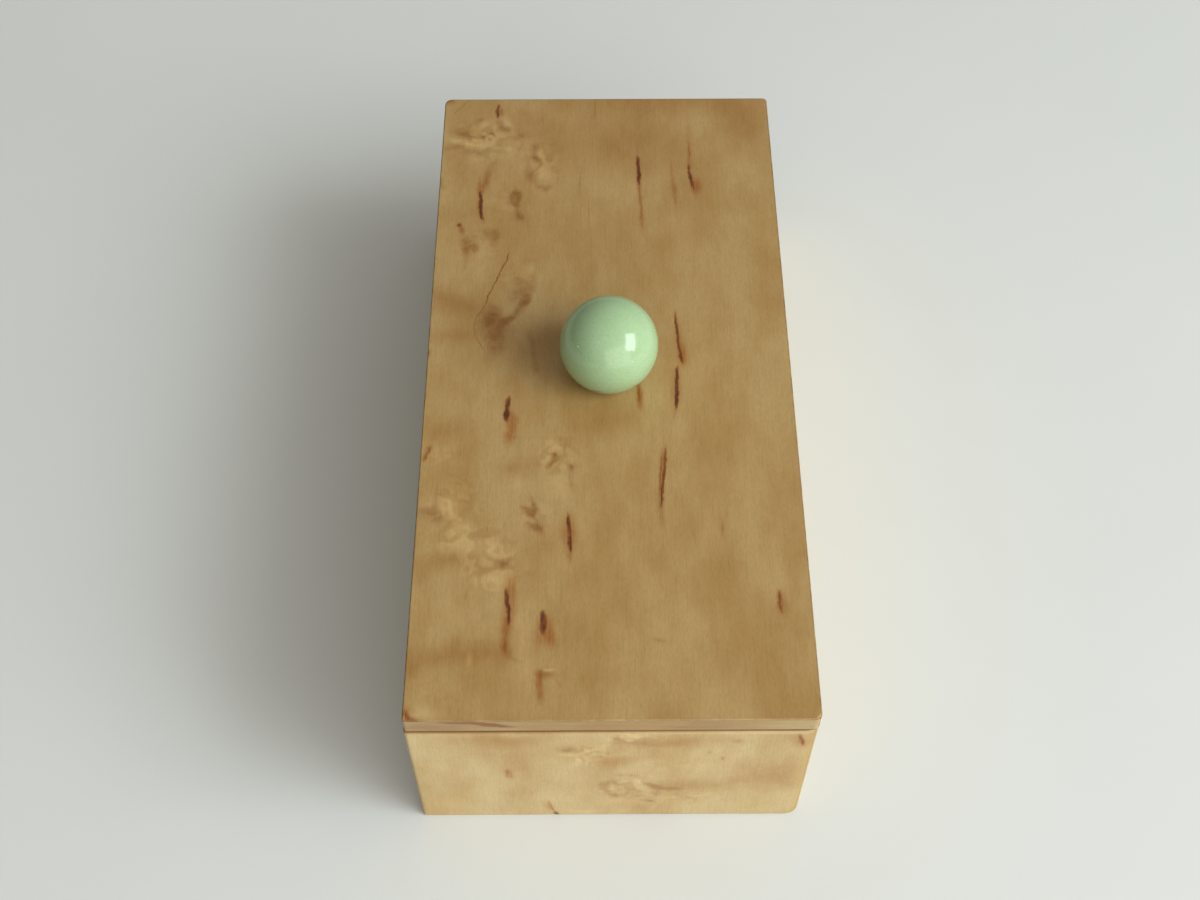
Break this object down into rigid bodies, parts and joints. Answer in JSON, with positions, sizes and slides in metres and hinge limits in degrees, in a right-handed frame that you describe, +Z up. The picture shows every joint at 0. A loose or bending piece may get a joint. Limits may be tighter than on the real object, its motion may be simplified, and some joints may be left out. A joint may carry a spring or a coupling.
{
  "type": "keepsake box",
  "caption": "Long masur birch box for papers and keepsakes with a flat veneered lid that lifts straight off by a round green ball knob.",
  "frame": {"origin": "bottom centre of the box, on the surface that it stands on", "axes": "+Z up through the knob, Y along the box's length with the front end at -Y, X across its width with the right side at +X"},
  "size_m": [0.12, 0.251, 0.0988],
  "materials": {
    "masur_birch_wall": "masur birch, satin lacquer",
    "masur_birch_veneer": "masur birch veneer, satin lacquer",
    "birch_lipping": "straight-grained birch, satin lacquer",
    "plain_birch_veneer": "plain birch veneer, thin lacquer",
    "plain_birch_strip": "plain birch, thin lacquer",
    "birch_plywood": "birch plywood, unpolished",
    "lid_board": "plywood core, unpolished",
    "beech_tongue": "beech, unpolished",
    "green_enamel": "turned wood, gloss mint green enamel",
    "screw_steel": "zinc plated steel"
  },
  "bodies": {
    "box": {"front_wall": "masur_birch_wall", "right_wall": "masur_birch_wall", "rear_wall": "masur_birch_wall", "left_wall": "masur_birch_wall", "front_left_tongue": "beech_tongue", "front_right_tongue": "beech_tongue", "rear_right_tongue": "beech_tongue", "rear_left_tongue": "beech_tongue", "bottom_panel": "birch_plywood"},
    "lid": {"lid_core": "lid_board", "lid_top_veneer": "masur_birch_veneer", "lid_under_veneer": "plain_birch_veneer", "lid_front_lipping": "birch_lipping", "lid_right_lipping": "birch_lipping", "lid_rear_lipping": "birch_lipping", "lid_left_lipping": "birch_lipping", "front_locating_strip": "plain_birch_strip", "right_locating_strip": "plain_birch_strip", "rear_locating_strip": "plain_birch_strip", "left_locating_strip": "plain_birch_strip", "knob_ball": "green_enamel", "knob_screw": "screw_steel"}
  },
  "joints": [
    {"name": "lid_lift", "type": "slide", "parent": "box", "child": "lid", "axis": [0, 0, 1], "range_m": [0, 0.12]}
  ]
}
